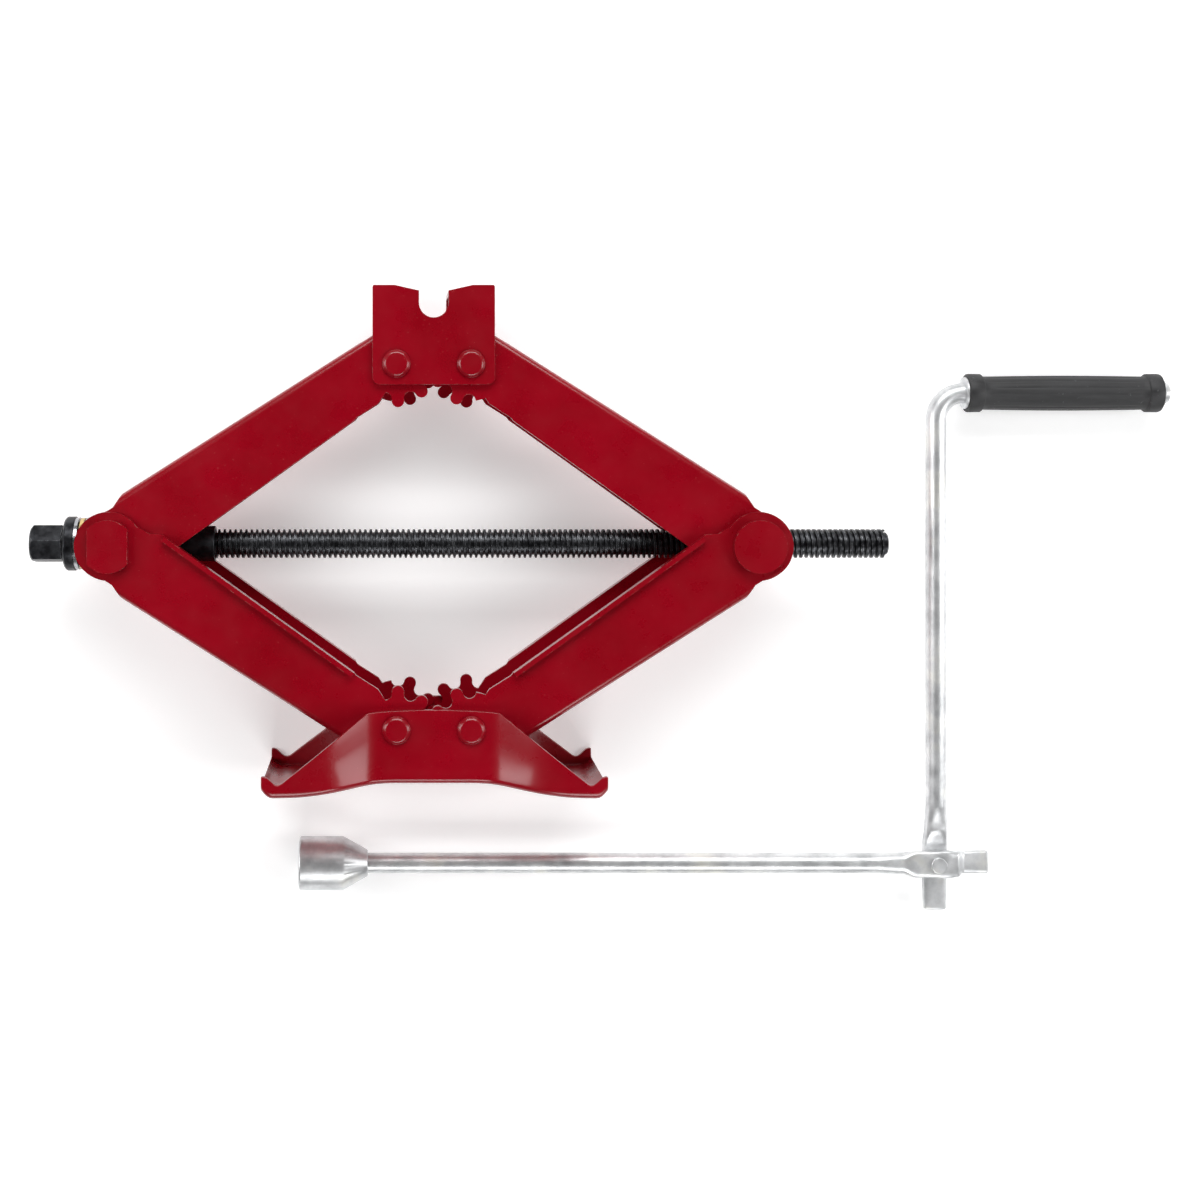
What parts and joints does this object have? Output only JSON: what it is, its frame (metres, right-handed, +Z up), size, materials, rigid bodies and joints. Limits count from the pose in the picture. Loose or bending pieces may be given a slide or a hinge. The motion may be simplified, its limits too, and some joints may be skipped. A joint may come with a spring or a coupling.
{
  "type": "car jack",
  "caption": "Red scissor car jack with its folding crank, laid flat as a kit: screw-driven arms, toothed at base and saddle.",
  "frame": {"origin": "centre of the kit's box, on the surface it lies on", "axes": "+X along the lead screw towards its free end, +Y the lifting direction, +Z up out of the surface"},
  "size_m": [0.642, 0.353, 0.084],
  "materials": {
    "red_paint": "gloss red enamel on pressed steel, worn to bare metal on the edges",
    "black_steel": "black oxide on turned steel, slightly oily",
    "bearing_steel": "plain ground steel",
    "cage_brass": "pressed brass",
    "zinc_plate": "bright zinc plating with pale yellow tinges",
    "black_rubber": "moulded black rubber, satin"
  },
  "bodies": {
    "base": {"base_plate": "red_paint", "base_rivets": "red_paint"},
    "lower_arm_left": {"lower_arm_left": "red_paint"},
    "lower_arm_right": {"lower_arm_right": "red_paint"},
    "upper_arm_left": {"upper_arm_left": "red_paint"},
    "upper_arm_right": {"upper_arm_right": "red_paint"},
    "saddle": {"saddle_plate": "red_paint", "saddle_rivets": "red_paint"},
    "bearing_trunnion": {"bearing_trunnion": "red_paint"},
    "nut_trunnion": {"nut_trunnion": "red_paint"},
    "screw": {"lead_screw": "black_steel", "hex_head": "black_steel", "thrust_collar": "black_steel", "thrust_washers": "bearing_steel", "thrust_balls": "bearing_steel", "ball_cage": "cage_brass", "spacer_sleeve": "black_steel"},
    "crank_rod": {"crank_socket": "zinc_plate", "crank_rod": "zinc_plate", "crank_rivet": "zinc_plate"},
    "crank_arm": {"crank_arm": "zinc_plate", "grip_washer": "zinc_plate", "grip_retainer": "zinc_plate"},
    "crank_grip": {"crank_grip": "black_rubber"}
  },
  "joints": [
    {"name": "screw_turn", "type": "hinge", "parent": "bearing_trunnion", "child": "screw", "pos_m": [-0.27498, 0.03465, 0.042], "axis": [1, 0, 0], "range_deg": [-9964, 9257]},
    {"name": "lower_left_fold", "type": "hinge", "parent": "base", "child": "lower_arm_left", "pos_m": [-0.11878, -0.06448, 0.042], "axis": [0, 0, -1], "range_deg": [-25.5, 23.7]},
    {"name": "lower_right_fold", "type": "hinge", "parent": "base", "child": "lower_arm_right", "pos_m": [-0.07827, -0.06448, 0.042], "axis": [0, 0, 1], "range_deg": [-25.5, 23.7]},
    {"name": "left_trunnion_turn", "type": "hinge", "parent": "lower_arm_left", "child": "bearing_trunnion", "pos_m": [-0.27498, 0.03465, 0.042], "axis": [0, 0, 1], "range_deg": [-25.5, 23.7]},
    {"name": "right_trunnion_turn", "type": "hinge", "parent": "lower_arm_right", "child": "nut_trunnion", "pos_m": [0.07793, 0.03465, 0.042], "axis": [0, 0, -1], "range_deg": [-25.5, 23.7]},
    {"name": "upper_left_fold", "type": "hinge", "parent": "lower_arm_left", "child": "upper_arm_left", "pos_m": [-0.27498, 0.03465, 0.042], "axis": [0, 0, 1], "range_deg": [-51, 47.4]},
    {"name": "upper_right_fold", "type": "hinge", "parent": "lower_arm_right", "child": "upper_arm_right", "pos_m": [0.07793, 0.03465, 0.042], "axis": [0, 0, -1], "range_deg": [-51, 47.4]},
    {"name": "saddle_level", "type": "hinge", "parent": "upper_arm_left", "child": "saddle", "pos_m": [-0.11878, 0.13378, 0.042], "axis": [0, 0, -1], "range_deg": [-25.5, 23.7]},
    {"name": "crank_lift", "type": "slide", "parent": "base", "child": "crank_rod", "axis": [0, 0, 1], "range_m": [0, 0.2]},
    {"name": "crank_swing", "type": "hinge", "parent": "crank_rod", "child": "crank_arm", "pos_m": [0.18898, -0.14948, 0.015], "axis": [0, 0, 1], "range_deg": [-20, 5]},
    {"name": "grip_spin", "type": "hinge", "parent": "crank_arm", "child": "crank_grip", "pos_m": [0.25898, 0.11852, 0.015], "axis": [1, 0, 0], "continuous": true}
  ],
  "couplings": [
    {"joint": "lower_left_fold", "follows": "screw_turn", "ratio": 0.0025467},
    {"joint": "lower_right_fold", "follows": "screw_turn", "ratio": 0.0025467},
    {"joint": "left_trunnion_turn", "follows": "screw_turn", "ratio": 0.0025467},
    {"joint": "right_trunnion_turn", "follows": "screw_turn", "ratio": 0.0025467},
    {"joint": "upper_left_fold", "follows": "screw_turn", "ratio": 0.0050933},
    {"joint": "upper_right_fold", "follows": "screw_turn", "ratio": 0.0050933},
    {"joint": "saddle_level", "follows": "screw_turn", "ratio": 0.0025467}
  ]
}
